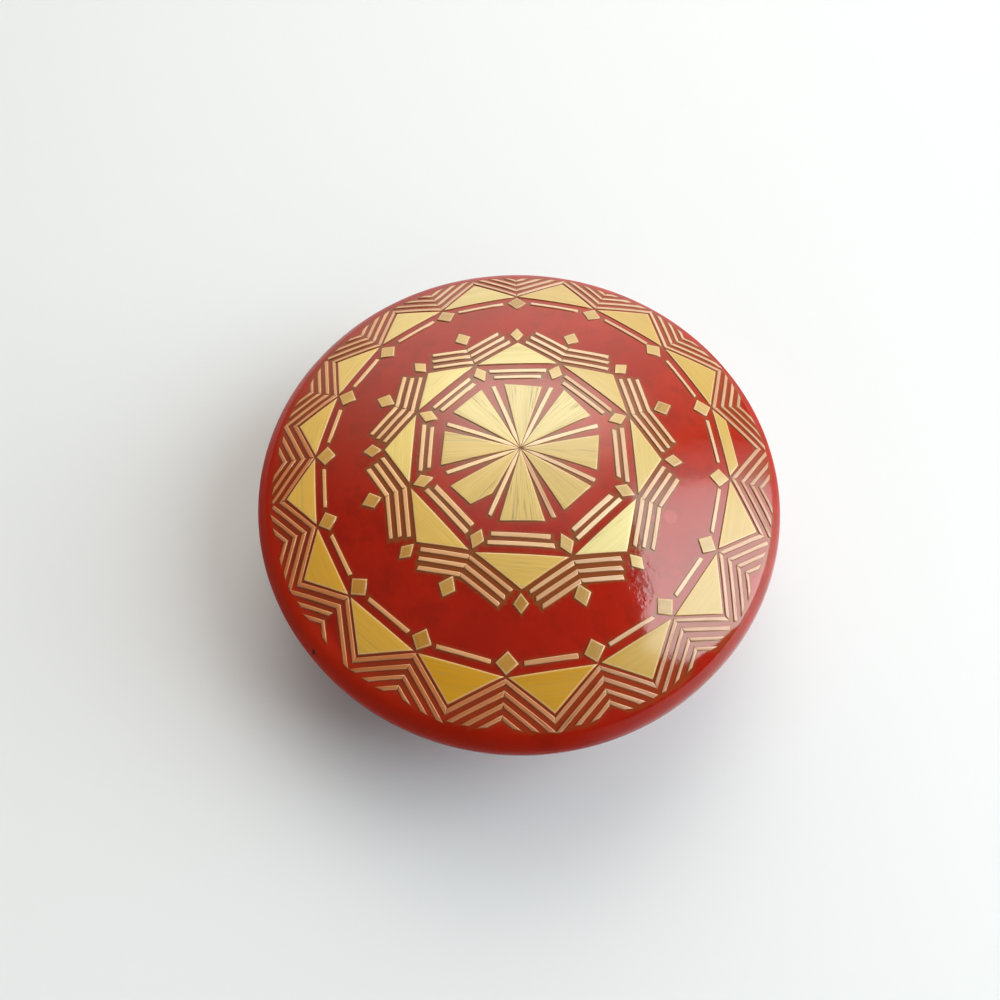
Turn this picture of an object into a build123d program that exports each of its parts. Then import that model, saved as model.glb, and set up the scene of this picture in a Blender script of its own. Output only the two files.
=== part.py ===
from build123d import *
from cmath import rect
from math import atan2, cos, pi, radians, sin, sqrt, tan
import os

# Round turned box with a lift-off domed lid that is covered with a star of split straw.
# Millimetres and degrees. Z is up, and the origin is the middle of the foot's resting plane.

# Turned wood, sizes shared by lid and base
box_radius = 50.0  # widest circle
rim_width = 5.7  # flat seat ring, from the outside in to the lid's recess
lip_clearance = 0.3  # play of the base's lip in the lid's recess, on the radius
edge_round = 0.4  # eased edges at the seam, on the lip and under the foot

# Lid
dome_height = 15.7  # top of the dome above the widest circle
dome_shoulder = 6.5  # round from the dome down to the rim
lid_band = 1.8  # straight band under the widest circle
lid_wall = 3.6  # wood between the dome and the hollow
recess_step = 1.2  # the hollow is this much narrower than the recess for the lip
lip_top_gap = 0.6  # room over the lip in the recess
ceiling_round = 1.0  # inside round between the hollow's wall and its ceiling

# Base
base_band = 0.6  # straight band under the seam
bowl_height = 21.0  # from the bowl's lowest point up to the band
bowl_shoulder = 10.0  # round from the band into the bowl
bowl_wall = 4.0  # wood between the bowl and its hollow
floor_round = 3.0  # inside round between lip wall and floor
lip_height = 3.4
lip_wall = 2.5
foot_radius = 26.0
foot_ring = 3.5  # width of the ring that the box stands on
foot_recess = 1.2  # hollow turned under the foot
foot_round = 1.5  # cove between foot and bowl

# Straw: flat strips of split stalk, glued on the dome
straw_thickness = 0.25
glue_line = 0.03  # glue and lacquer between straw and wood
straw_width = 0.8  # narrow strips
row_gap = 0.78  # bare ground between the rows of a chevron stack
butt_gap = 0.12  # joint line between two pieces that meet
triangle_inset = 0.18  # triangles stop this far short of the drawn lines

# Middle star
star_count = 8  # points of the star and sides of the octagon round it
star_radius = 14.2
star_gap = 17.8  # open angle between two kites, which holds a ray
star_turn = -1.5  # the star was laid slightly clockwise
clipped_kite = 5  # this kite lost a corner
clip_radius = 10.0  # where the lost corner begins on the kite's side
clip_share = 0.62  # how far round the outer edge the lost corner reaches

# Octagon of strips and triangles round the star
octagon_radius = 21.0
middle_apex_step = 4.15  # triangle tips beyond the octagon's corner circle
octagon_strip_rows = 2
octagon_first_gap = 1.2  # bare ground between the octagon's side and the first strip inside it
octagon_row_gap = 0.7
octagon_end_gap = 0.5  # strip ends stop this far from the lozenges
octagon_lozenge_length = 3.7
octagon_lozenge_width = 2.6
octagon_lozenge_gap = 0.5
apex_lozenge_length = 3.4
apex_lozenge_width = 2.5
apex_lozenge_gap = 0.4
middle_rows = 3  # rows of chevrons outside the octagon
middle_first_gap = 0.6  # between a triangle's drawn side and the first row
leg_trim = 1.2  # a leg is this much shorter than the triangle's side
leg_step = 0.5  # and each row is this much shorter than the one inside it
outer_lozenge_length = 3.7
outer_lozenge_width = 3.1
outer_lozenge_gap = 0.65
lost_lozenge = 7  # one of these lozenges has come off

# Outer ring of triangles and chevrons, set out from the rim inwards
ring_count = 16
outer_border = 3.1  # bare border between the rim and the ends of the strips
outer_apex_step = 2.4  # triangle tips inside the strip ends
outer_triangle_height = 6.0
ring_strip_gap = 1.15  # between a triangle's base and the strip inside it
ring_end_gap = 0.8  # strip ends stop this far from the lozenges
ring_lozenge_length = 3.6
ring_lozenge_width = 3.7
ring_lozenge_gap = 0.25
outer_rows = 4
outer_first_gap = 0.24
slat_triangle = 0  # this triangle has only a slat of straw along its base
slat_width = 2.6
lost_leg = (2, 10)  # row and stack of the one leg that has come off

# Hand-laid unevenness of each ring. Four numbers each: the cosine and sine of once round,
# then of twice round, in mm for the radius and in degrees for the turn.
octagon_turn = -0.5
octagon_radius_sway = (0.65, -0.36, 0.29, -0.25)
octagon_turn_sway = (1.3, 0.8, -1.3, -1.3)
middle_apex_turn = -0.8
middle_apex_radius_sway = (0.47, -0.43, 0.02, -0.26)
middle_apex_turn_sway = (0.5, 0.5, -1.1, -0.4)
outer_lozenge_turn = -1.3
outer_lozenge_turn_sway = (1.3, 1.7, 0.0, 0.0)
base_turn = -2.3
base_radius_sway = (0.4, -0.3, -0.4, 0.3)
base_turn_sway = (-0.7, 2.1, -0.65, -1.1)
apex_turn = -2.8
apex_radius_sway = (0.86, -0.23, -0.55, 0.37)
apex_turn_sway = (-1.4, 2.2, -0.6, -1.0)
edge_centre = 0.7 - 0.5j  # the circle that ends the strips is a little off the middle

# Heights that follow from the sizes
bowl_bottom = foot_recess
bowl_top = bowl_bottom + bowl_height
seat_z = bowl_top + base_band
equator_z = seat_z + lid_band
apex_z = equator_z + dome_height
recess_radius = box_radius - rim_width
recess_depth = lip_height + lip_top_gap
hollow_radius = recess_radius - recess_step
lip_radius = recess_radius - lip_clearance
lip_inside = lip_radius - lip_wall

# Radii that follow for the outer ring
edge_radius = box_radius - outer_border
apex_radius = edge_radius - outer_apex_step
base_radius = apex_radius - outer_triangle_height


# Turned shapes

def cap_radius(radius, height, shoulder):
    """Radius of the large arc that meets the shoulder arc smoothly and tops out on the axis."""
    run, rise = radius - shoulder, height - shoulder
    return (run**2 + rise**2) / (2 * rise) + shoulder


def dome_arcs(radius, height, shoulder, z, up):
    """Shoulder arc and cap arc, from the widest circle at height z to the axis."""
    cap = cap_radius(radius, height, shoulder)
    tilt = atan2(radius - shoulder, cap - height)

    def on_shoulder(angle):
        return (radius - shoulder + shoulder * sin(angle), z + up * shoulder * cos(angle))

    def on_cap(angle):
        return (cap * sin(angle), z + up * (height - cap + cap * cos(angle)))

    shoulder_arc = ThreePointArc(on_shoulder(pi / 2), on_shoulder((pi / 2 + tilt) / 2), on_cap(tilt))
    cap_arc = ThreePointArc(on_cap(tilt), on_cap(tilt / 2), (0, z + up * height))
    return [shoulder_arc, cap_arc]


def turned(edges):
    """Solid turned about Z from a closed outline of radius and height."""
    return revolve(Plane.XZ * make_face(edges), Axis.Z)


def disc(radius, height, z=0):
    return Pos(0, 0, z) * Cylinder(radius, height, align=(Align.CENTER, Align.CENTER, Align.MIN))


def closing_lines(top_or_bottom, flat_z):
    """Axis and flat face that close a dome's outline at height flat_z."""
    return [Line((0, top_or_bottom), (0, flat_z)), Line((0, flat_z), (box_radius, flat_z))]


def hollow(radius, mouth_z, cap, centre_z, corner_round, up):
    """Space inside a lid or bowl: a round wall that ends in a shallow ceiling or floor."""
    def on_cap(angle):
        return (cap * sin(angle), centre_z + up * cap * cos(angle))

    tilt = atan2(radius, sqrt(cap**2 - radius**2))
    wall = Line((radius, mouth_z), on_cap(tilt))
    ceiling = ThreePointArc(on_cap(tilt), on_cap(tilt / 2), on_cap(0))
    axis = Line(on_cap(0), (0, mouth_z))
    space = turned([wall, ceiling, axis, Line((0, mouth_z), (radius, mouth_z))])
    return fillet(rings(space, radius, on_cap(tilt)[1]), corner_round)


def rings(solid, radius, z, tolerance=0.01):
    """Circular edges of a turned solid with this radius at this height."""
    circles = solid.edges().filter_by(GeomType.CIRCLE)
    level = [edge for edge in circles if abs(edge.center().Z - z) < tolerance]
    return [edge for edge in level if abs(edge.radius - radius) < tolerance]


def lid_shell():
    """Domed lid with a straight rim band and a recess for the base's lip."""
    arcs = dome_arcs(box_radius, dome_height, dome_shoulder, equator_z, 1)
    band = Line((box_radius, seat_z), (box_radius, equator_z))
    lid = turned([band] + arcs + closing_lines(apex_z, seat_z))
    cap = cap_radius(box_radius, dome_height, dome_shoulder)
    lid -= hollow(hollow_radius, seat_z, cap - lid_wall, apex_z - cap, ceiling_round, 1)
    lid -= disc(recess_radius, recess_depth, seat_z)
    return fillet(rings(lid, box_radius, seat_z) + rings(lid, recess_radius, seat_z), edge_round)


def base_bowl():
    """Bowl with a seat for the lid, a raised lip that locates it, and a turned foot."""
    arcs = dome_arcs(box_radius, bowl_height, bowl_shoulder, bowl_top, -1)
    band = Line((box_radius, seat_z), (box_radius, bowl_top))
    cap = cap_radius(box_radius, bowl_height, bowl_shoulder)
    foot_top = bowl_bottom + cap - sqrt(cap**2 - foot_radius**2)
    lip_top = seat_z + lip_height
    bowl = turned([band] + arcs + closing_lines(bowl_bottom, seat_z))
    bowl += disc(lip_radius, lip_height, seat_z)
    bowl += disc(foot_radius, foot_top)
    bowl = fillet(rings(bowl, foot_radius, foot_top), foot_round)
    bowl -= hollow(lip_inside, lip_top, cap - bowl_wall, bowl_bottom + cap, floor_round, -1)
    bowl -= disc(foot_radius - foot_ring, foot_recess)
    eased = rings(bowl, box_radius, seat_z) + rings(bowl, foot_radius, 0)
    eased += rings(bowl, lip_radius, lip_top) + rings(bowl, lip_inside, lip_top)
    return fillet(eased, edge_round)


# Plan of the straw pattern. A corner is a complex number: real part along X, imaginary along Y.

def sway(wave, angle):
    """Unevenness once and twice round a ring."""
    c1, s1, c2, s2 = wave
    return c1 * cos(angle) + s1 * sin(angle) + c2 * cos(2 * angle) + s2 * sin(2 * angle)


def ring(radius, count, first, turn, radius_sway, turn_sway):
    """Corners of one ring, counter-clockwise, with its unevenness."""
    corners = []
    for k in range(count):
        nominal = 2 * pi * (k + first) / count
        angle = nominal + radians(turn + sway(turn_sway, nominal))
        corners.append(rect(radius + sway(radius_sway, nominal), angle))
    return corners


def unit(v):
    return v / abs(v)


def cross(a, b):
    return (a.conjugate() * b).imag


def dot(a, b):
    return (a.conjugate() * b).real


def meet(p, u, q, v):
    """Where the line through p along u meets the line through q along v."""
    return p + u * cross(q - p, v) / cross(u, v)


def moved_out(corner, tip, offset):
    """The line from corner to tip moved outwards: a point on it, and its direction."""
    u = unit(tip - corner)
    outward = u * 1j if dot(u * 1j, corner) > 0 else u * -1j
    return corner + outward * offset, u


def shrunk(corners, gap):
    """A counter-clockwise polygon with every side moved in by gap."""
    smaller = []
    for before, corner, after in zip(corners[-1:] + corners[:-1], corners, corners[1:] + corners[:1]):
        u, v = unit(corner - before), unit(after - corner)
        smaller.append(meet(before + u * 1j * gap, u, corner + v * 1j * gap, v))
    return smaller


def chord_strip(a, b, offset, end_gap):
    """Strip parallel to the chord a-b, nearer the middle by offset, short of both corner lines."""
    along = unit(b - a)
    scale = 1 - offset / abs(cross(a, along))
    start, end = a * scale + along * end_gap, b * scale - along * end_gap
    half = along * 1j * straw_width / 2
    return [start - half, end - half, end + half, start + half]


def lozenge(tip, length, width):
    """Four-sided piece along the radius from its tip; a negative length points inwards."""
    u = unit(tip)
    middle = tip + u * length / 2
    across = u * 1j * width / 2
    return [tip, middle - across, tip + u * length, middle + across]


def leg(corner, tip, other, offset, end):
    """One leg of a chevron: mitred where it meets its twin, ended by end(point, direction, offset)."""
    starts, ends = [], []
    for shift in (offset - straw_width / 2, offset + straw_width / 2):
        p, u = moved_out(corner, tip, shift)
        q, v = moved_out(corner, other, shift)
        start = meet(p, u, q, v)
        starts.append(start + u * butt_gap / 2 / abs(cross(u, unit(corner))))
        ends.append(end(start, u, shift))
    return [starts[0], starts[1], ends[1], ends[0]]


octagon = ring(octagon_radius, star_count, 0.5, octagon_turn, octagon_radius_sway, octagon_turn_sway)
middle_apexes = ring(octagon_radius + middle_apex_step, star_count, 1, middle_apex_turn,
                     middle_apex_radius_sway, middle_apex_turn_sway)
base_corners = ring(base_radius, ring_count, 0, base_turn, base_radius_sway, base_turn_sway)
apex_corners = ring(apex_radius, ring_count, 0.5, apex_turn, apex_radius_sway, apex_turn_sway)


def following(corners, k):
    return corners[(k + 1) % len(corners)]


# Straw pieces as polygons, one list for each sub-part

def kite_half_angle():
    return pi / star_count - radians(star_gap / 2)


def star_kites():
    half = kite_half_angle()
    kites = []
    for k in range(star_count):
        heading = 2 * pi * k / star_count + radians(star_turn)
        tip = rect(butt_gap / 2 / sin(half), heading)
        right, left = rect(star_radius, heading - half), rect(star_radius, heading + half)
        if k == clipped_kite:
            cut = right + (left - right) * clip_share
            kites.append([tip, right, cut, rect(clip_radius, heading + half)])
        else:
            kites.append([tip, right, left])
    return kites


def star_rays():
    """Strips between the kites, pointed where they meet in the middle."""
    wedge = radians(star_gap / 2)
    start = butt_gap / 2 / sin(wedge)
    full = start + straw_width / 2 / tan(wedge)
    rays = []
    for k in range(star_count):
        u = rect(1, 2 * pi * (k + 0.5) / star_count + radians(star_turn))
        side = u * 1j * straw_width / 2
        near, far = u * full, u * star_radius
        rays.append([u * start, near - side, far - side, far + side, near + side])
    return rays


def row_offset(first_gap, row, gap):
    """From a drawn line to the middle of one of the strips beside it."""
    return first_gap + straw_width / 2 + row * (straw_width + gap)


def octagon_strips(row):
    offset = row_offset(octagon_first_gap, row, octagon_row_gap)
    end_gap = octagon_lozenge_width / 2 + octagon_end_gap
    return [chord_strip(a, following(octagon, k), offset, end_gap) for k, a in enumerate(octagon)]


def octagon_lozenges():
    tips = [corner - unit(corner) * octagon_lozenge_gap for corner in octagon]
    return [lozenge(tip, -octagon_lozenge_length, octagon_lozenge_width) for tip in tips]


def middle_triangles():
    drawn = [[a, middle_apexes[k], following(octagon, k)] for k, a in enumerate(octagon)]
    return [shrunk(corners, triangle_inset) for corners in drawn]


def apex_lozenges():
    tips = [corner + unit(corner) * apex_lozenge_gap for corner in middle_apexes]
    return [lozenge(tip, apex_lozenge_length, apex_lozenge_width) for tip in tips]


def middle_chevrons(row):
    offset = row_offset(middle_first_gap, row, row_gap)
    legs = []
    for k, corner in enumerate(octagon):
        left, right = middle_apexes[k], middle_apexes[k - 1]
        for tip, other in ((left, right), (right, left)):
            length = abs(tip - corner) - leg_trim - row * leg_step
            legs.append(leg(corner, tip, other, offset, lambda p, u, shift: p + u * length))
    return legs


def outer_lozenges():
    """Lozenges beyond the last middle chevrons."""
    last_row = row_offset(middle_first_gap, middle_rows - 1, row_gap)
    reach = octagon_radius + last_row + straw_width / 2 + outer_lozenge_gap
    tips = ring(reach, star_count, 0.5, outer_lozenge_turn, octagon_radius_sway, outer_lozenge_turn_sway)
    kept = [tip for k, tip in enumerate(tips) if k != lost_lozenge]
    return [lozenge(tip, outer_lozenge_length, outer_lozenge_width) for tip in kept]


def ring_strips():
    offset = row_offset(ring_strip_gap, 0, 0)
    end_gap = ring_lozenge_width / 2 + ring_end_gap
    return [chord_strip(a, following(base_corners, k), offset, end_gap) for k, a in enumerate(base_corners)]


def ring_lozenges():
    tips = [corner - unit(corner) * ring_lozenge_gap for corner in base_corners]
    return [lozenge(tip, -ring_lozenge_length, ring_lozenge_width) for tip in tips]


def outer_triangles():
    triangles = []
    for k, a in enumerate(base_corners):
        tip, b = apex_corners[k], following(base_corners, k)
        if k == slat_triangle:
            share = slat_width / abs(cross(tip - a, unit(b - a)))
            slat = [a, a + (tip - a) * share, b + (tip - b) * share, b]
            triangles.append(shrunk(slat, triangle_inset))
        else:
            triangles.append(shrunk([a, tip, b], triangle_inset))
    return triangles


def edge_point(p, u):
    """Where the line from p along u reaches the circle that ends the outer strips."""
    q = p - edge_centre
    return p + u * (sqrt(edge_radius**2 - cross(u, q) ** 2) - dot(q, u))


def outer_chevrons(row):
    """Legs end on the pattern's edge, or where they meet the next stack at a triangle's tip."""
    offset = row_offset(outer_first_gap, row, row_gap)
    legs = []
    for k, corner in enumerate(base_corners):
        left, right = apex_corners[k], apex_corners[k - 1]
        ahead, behind = following(base_corners, k), base_corners[k - 1]
        for tip, other, far in ((left, right, ahead), (right, left, behind)):
            def end(p, u, shift):
                q, v = moved_out(far, tip, shift)
                mitre = meet(p, u, q, v) - u * butt_gap / 2 / abs(cross(u, unit(tip)))
                return min(mitre, edge_point(p, u), key=lambda point: dot(point - p, u))

            if tip == right or (row, k) != lost_leg:
                legs.append(leg(corner, tip, other, offset, end))
    return legs


# Straw solids: each polygon is cut from a thin layer that follows the dome

def straw_layer():
    def raised(lift):
        return dome_arcs(box_radius + lift, dome_height + lift, dome_shoulder + lift, equator_z, 1)

    low, high = glue_line, glue_line + straw_thickness
    rim = Line((box_radius + low, equator_z), (box_radius + high, equator_z))
    top = Line((0, apex_z + low), (0, apex_z + high))
    return turned(raised(low) + raised(high) + [rim, top])


def straw_group(polygons, layer):
    """One solid for each polygon, kept separate in one group."""
    solids = []
    for corners in polygons:
        outline = Polygon(*[(c.real, c.imag) for c in corners], align=None)
        height = dome_height + glue_line + 2 * straw_thickness
        blank = Pos(0, 0, equator_z) * extrude(outline, height, dir=(0, 0, 1))
        solids.append((blank & layer).solid())
    return Compound(children=solids)


def write(name, shape):
    export_step(shape, "parts/" + name + ".step")
    print(name, "solids", len(shape.solids()), "volume", round(shape.volume, 2))


os.makedirs("parts", exist_ok=True)
write("lid_shell", lid_shell())
write("base_bowl", base_bowl())

patterns = {
    "star_kites": star_kites(),
    "star_rays": star_rays(),
    "octagon_lozenges": octagon_lozenges(),
    "middle_triangles": middle_triangles(),
    "apex_lozenges": apex_lozenges(),
    "outer_lozenges": outer_lozenges(),
    "ring_strips": ring_strips(),
    "ring_lozenges": ring_lozenges(),
    "outer_triangles": outer_triangles(),
}
for row in range(octagon_strip_rows):
    patterns["octagon_strips_" + str(row + 1)] = octagon_strips(row)
for row in range(middle_rows):
    patterns["middle_chevrons_" + str(row + 1)] = middle_chevrons(row)
for row in range(outer_rows):
    patterns["outer_chevrons_" + str(row + 1)] = outer_chevrons(row)

layer = straw_layer()
for name, polygons in patterns.items():
    write(name, straw_group(polygons, layer))
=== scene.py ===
import bpy
import numpy as np
from mathutils import Matrix
from mathutils.geometry import convex_hull_2d


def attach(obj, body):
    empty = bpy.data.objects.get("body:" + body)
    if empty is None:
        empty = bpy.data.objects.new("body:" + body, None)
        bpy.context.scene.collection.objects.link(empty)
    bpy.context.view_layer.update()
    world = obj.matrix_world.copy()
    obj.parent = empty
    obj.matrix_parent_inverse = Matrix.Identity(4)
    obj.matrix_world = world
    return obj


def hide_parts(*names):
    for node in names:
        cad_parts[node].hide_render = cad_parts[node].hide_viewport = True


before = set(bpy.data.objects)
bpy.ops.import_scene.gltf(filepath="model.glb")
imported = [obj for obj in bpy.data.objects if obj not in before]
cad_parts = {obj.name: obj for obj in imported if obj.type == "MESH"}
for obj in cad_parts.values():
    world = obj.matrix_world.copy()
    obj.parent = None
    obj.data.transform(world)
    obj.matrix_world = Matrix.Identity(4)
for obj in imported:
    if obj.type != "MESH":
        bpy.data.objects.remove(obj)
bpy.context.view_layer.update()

# Trinket box in red lacquer with a lift-off domed lid under a star of split straw.
# Sizes here are in millimetres and degrees. Meshes are put into the scene in metres.

mm = 0.001

# Turned sizes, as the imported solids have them
box = {
    "radius": 50.0,
    "seat": 22.8,  # height of the seam
    "edgeRound": 0.4,
    "lipRound": 0.15,  # in the corner at the foot of the lip and in the lid's recess
    "insideRound": 0.2,  # in the corners that are hardly seen
    "cornerPoints": 4,
    "insideStep": 1.5,  # length of a face inside the lid and the bowl
    "straightStep": 1.0,
}
lid = {
    "domeHeight": 15.7,  # above the widest circle
    "shoulder": 6.5,
    "band": 1.8,
    "recessRadius": 44.3,
    "recessDepth": 4.0,
    "hollowRadius": 43.1,
    "ceilingRound": 1.0,
    "wall": 3.6,
    "turns": 480,  # faces round the lid
    "domeStep": 0.5,  # length of a face along the dome
}
base = {
    "band": 0.6,
    "bowlHeight": 21.0,
    "shoulder": 10.0,
    "wall": 4.0,
    "lipRadius": 44.0,
    "lipInside": 41.5,
    "lipHeight": 3.4,
    "floorRound": 3.0,
    "floorPoints": 10,
    "footRadius": 26.0,
    "footInside": 22.5,
    "footRecess": 1.2,
    "footRound": 1.5,
    "coveStart": 1.3,  # where the bowl ends outside the foot, in foot rounds
    "coveRound": 0.8,  # radius of the hollow between them, in foot rounds
    "covePoints": 7,
    "turns": 320,
    "step": 0.8,
}
equator = box["seat"] + lid["band"]


# Turned outlines: rows of radius and height

def capRadius(radius, height, shoulder):
    # cap = ((R - s)^2 + (H - s)^2) / (2 (H - s)) + s
    run, rise = radius - shoulder, height - shoulder
    return (run**2 + rise**2) / (2 * rise) + shoulder


def domeHeight(radius, lift=0.0):
    # z = equator + H - cap + sqrt((cap + lift)^2 - r^2) on the cap,
    # z = equator + sqrt((s + lift)^2 - (r - run)^2) on the shoulder
    shoulder = lid["shoulder"]
    run = box["radius"] - shoulder
    cap = capRadius(box["radius"], lid["domeHeight"], shoulder)
    tilt = np.arctan2(run, cap - lid["domeHeight"])
    onCap = lid["domeHeight"] - cap + np.sqrt((cap + lift) ** 2 - radius**2)
    onShoulder = np.sqrt(np.maximum((shoulder + lift) ** 2 - np.maximum(radius - run, 0) ** 2, 0))
    return equator + np.where(radius < (cap + lift) * np.sin(tilt), onCap, onShoulder)


def arc(centre, radius, start, end, step):
    # (r, z) = centre + radius (sin a, cos a), a from start to end in radians
    count = max(3, int(np.ceil(abs(end - start) * radius / step)) + 1)
    angles = np.linspace(start, end, count)
    return np.array(centre) + radius * np.stack([np.sin(angles), np.cos(angles)], -1)


def domeOutline(radius, height, shoulder, z, up, step):
    # cap arc about (0, z + up (H - cap)), then shoulder arc about (R - s, z), both tangent at the tilt
    cap = capRadius(radius, height, shoulder)
    tilt = np.arctan2(radius - shoulder, cap - height)
    top = arc((0, height - cap), cap, 0, tilt, step)
    side = arc((radius - shoulder, 0), shoulder, tilt, np.pi / 2, step)
    outline = np.vstack([top, side[1:]])
    return outline * (1, up) + (0, z)


def rounded(corner, before, after, radius, count=6):
    # corner cut back by t = radius tan(turn / 2) on both sides and joined by an arc
    corner, before, after = (np.array(p, float) for p in (corner, before, after))
    u = (before - corner) / np.linalg.norm(before - corner)
    v = (after - corner) / np.linalg.norm(after - corner)
    half = np.arccos(np.clip(u @ v, -1, 1)) / 2
    cut = radius / np.tan(half)
    centre = corner + (u + v) / np.linalg.norm(u + v) * radius / np.sin(half)
    start, end = corner + u * cut - centre, corner + v * cut - centre
    share = np.linspace(0, 1, count)[:, None]
    spread = np.arccos(np.clip(start @ end / radius**2, -1, 1))
    blend = (np.sin((1 - share) * spread) * start + np.sin(share * spread) * end) / np.sin(spread)
    return centre + blend


def straight(start, end, step, ease=0.06):
    # points between two ends, with one close to each end so that the rounds keep their shading
    start, end = np.array(start, float), np.array(end, float)
    length = np.linalg.norm(end - start)
    if length < 4 * ease:
        return np.array([start, end])
    inner = np.linspace(ease, length - ease, max(2, int(length / step) + 1))
    shares = np.concatenate([[0], inner, [length]]) / length
    return start + shares[:, None] * (end - start)


def joined(parts, step, apart=1e-6):
    # outline pieces in order, with the straight runs between them filled in and doubled points left out
    outline = [np.asarray(parts[0], float)]
    for part in parts[1:]:
        part = np.asarray(part, float)
        run = straight(outline[-1][-1], part[0], step)
        outline += [run[1:-1], part]
    points = np.vstack(outline)
    keep = np.concatenate([[True], np.linalg.norm(np.diff(points, axis=0), axis=1) > apart])
    return points[keep]


def lidOutline():
    # out over the dome, round the edge, across the seam, up the recess and back along the ceiling
    r, seat, edge, few = box["radius"], box["seat"], box["edgeRound"], box["cornerPoints"]
    cap = capRadius(r, lid["domeHeight"], lid["shoulder"])
    inner = cap - lid["wall"]
    centre = equator + lid["domeHeight"] - cap
    recess, hollow = lid["recessRadius"], lid["hollowRadius"]
    top = seat + lid["recessDepth"]
    ceiling = centre + np.sqrt(inner**2 - hollow**2)
    tilt = np.arcsin(hollow / inner)
    towardsMiddle = (0, ceiling + hollow * np.tan(tilt))
    corner = rounded((hollow, ceiling), (hollow, top), towardsMiddle, lid["ceilingRound"])
    tiltIn = np.arctan2(corner[-1][0], corner[-1][1] - centre)
    parts = [
        domeOutline(r, lid["domeHeight"], lid["shoulder"], equator, 1, lid["domeStep"]),
        rounded((r, seat), (r, equator), (recess, seat), edge),
        rounded((recess, seat), (r, seat), (recess, top), edge),
        rounded((recess, top), (recess, seat), (hollow, top), box["lipRound"], few),
        rounded((hollow, top), (recess, top), (hollow, ceiling), box["insideRound"], few),
        corner,
        arc((0, centre), inner, tiltIn, 0, box["insideStep"]),
    ]
    return joined(parts, box["straightStep"])


def baseOutline():
    # out along the bowl's floor, over the lip and the seat, down the outside and under the foot
    r, seat, edge, few = box["radius"], box["seat"], box["edgeRound"], box["cornerPoints"]
    bottom, foot, footIn = base["footRecess"], base["footRadius"], base["footInside"]
    bowlTop = seat - base["band"]
    cap = capRadius(r, base["bowlHeight"], base["shoulder"])
    centre = bottom + cap
    inner = cap - base["wall"]
    inside, lip, lipTop = base["lipInside"], base["lipRadius"], seat + base["lipHeight"]
    floorZ = centre - np.sqrt(inner**2 - inside**2)
    slope = inside / np.sqrt(inner**2 - inside**2)
    towardsMiddle, floorRound = (0, floorZ - inside * slope), base["floorRound"]
    corner = rounded((inside, floorZ), towardsMiddle, (inside, lipTop), floorRound, base["floorPoints"])
    tiltIn = np.arctan2(corner[0][0], centre - corner[0][1])
    floorArc = arc((0, 0), inner, 0, tiltIn, box["insideStep"]) * (1, -1) + (0, centre)
    bowl = domeOutline(r, base["bowlHeight"], base["shoulder"], bowlTop, -1, base["step"])[::-1]
    footTop = bottom + cap - np.sqrt(cap**2 - foot**2)
    outside = bowl[bowl[:, 0] > foot + base["coveStart"] * base["footRound"]]
    coveRound = base["footRound"] * base["coveRound"]
    cove = rounded((foot, footTop), outside[-1], (foot, 0), coveRound, base["covePoints"])
    parts = [
        floorArc,
        corner,
        rounded((inside, lipTop), (inside, floorZ), (lip, lipTop), edge),
        rounded((lip, lipTop), (inside, lipTop), (lip, seat), edge),
        rounded((lip, seat), (lip, lipTop), (r, seat), box["lipRound"], few),
        rounded((r, seat), (lip, seat), (r, bowlTop), edge),
        outside,
        cove,
        rounded((foot, 0), (foot, footTop), (footIn, 0), edge),
        rounded((footIn, 0), (foot, 0), (footIn, bottom), box["insideRound"], few),
        rounded((footIn, bottom), (footIn, 0), (0, bottom), box["insideRound"], few),
        [(0, bottom)],
    ]
    return joined(parts, box["straightStep"])


# Meshes

def meshObject(name, points, faces):
    # points in millimetres become a smooth mesh in metres
    mesh = bpy.data.meshes.new(name)
    mesh.from_pydata((np.asarray(points) * mm).tolist(), [], faces)
    mesh.polygons.foreach_set("use_smooth", np.ones(len(mesh.polygons), bool))
    mesh.update()
    piece = bpy.data.objects.new(name, mesh)
    bpy.context.scene.collection.objects.link(piece)
    return piece


def turnedObject(name, outline, turns):
    # x = r cos a, y = r sin a, z = height; the first and last points of the outline lie on the axis
    angles = np.arange(turns) * 2 * np.pi / turns
    rows = outline[1:-1]
    spread = np.stack([np.cos(angles), np.sin(angles)], -1)
    flat = rows[:, None, :1] * spread
    tall = np.broadcast_to(rows[:, None, 1:], flat.shape[:2] + (1,))
    points = np.concatenate([flat, tall], -1).reshape(-1, 3)
    points = np.vstack([points, [0, 0, outline[0, 1]], [0, 0, outline[-1, 1]]])
    row = np.arange(len(rows) - 1)[:, None] * turns
    here = np.arange(turns)[None]
    there = (here + 1) % turns
    quads = np.stack([row + here, row + turns + here, row + turns + there, row + there], -1).reshape(-1, 4)
    first, last = len(rows) * turns, len(rows) * turns + 1
    end = (len(rows) - 1) * turns
    sides = list(zip(here[0].tolist(), there[0].tolist()))
    caps = [(first, a, b) for a, b in sides] + [(last, end + b, end + a) for a, b in sides]
    return meshObject(name, points, quads.tolist() + caps), points


def pointAttribute(piece, name, values):
    layer = piece.data.attributes.new(name, "FLOAT", "POINT")
    layer.data.foreach_set("value", np.asarray(values, np.float32))


# Straw outlines in plan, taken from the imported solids. A corner is a complex number, x + y i.

def cross(a, b):
    # ax by - ay bx
    return (np.conj(a) * b).imag


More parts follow.
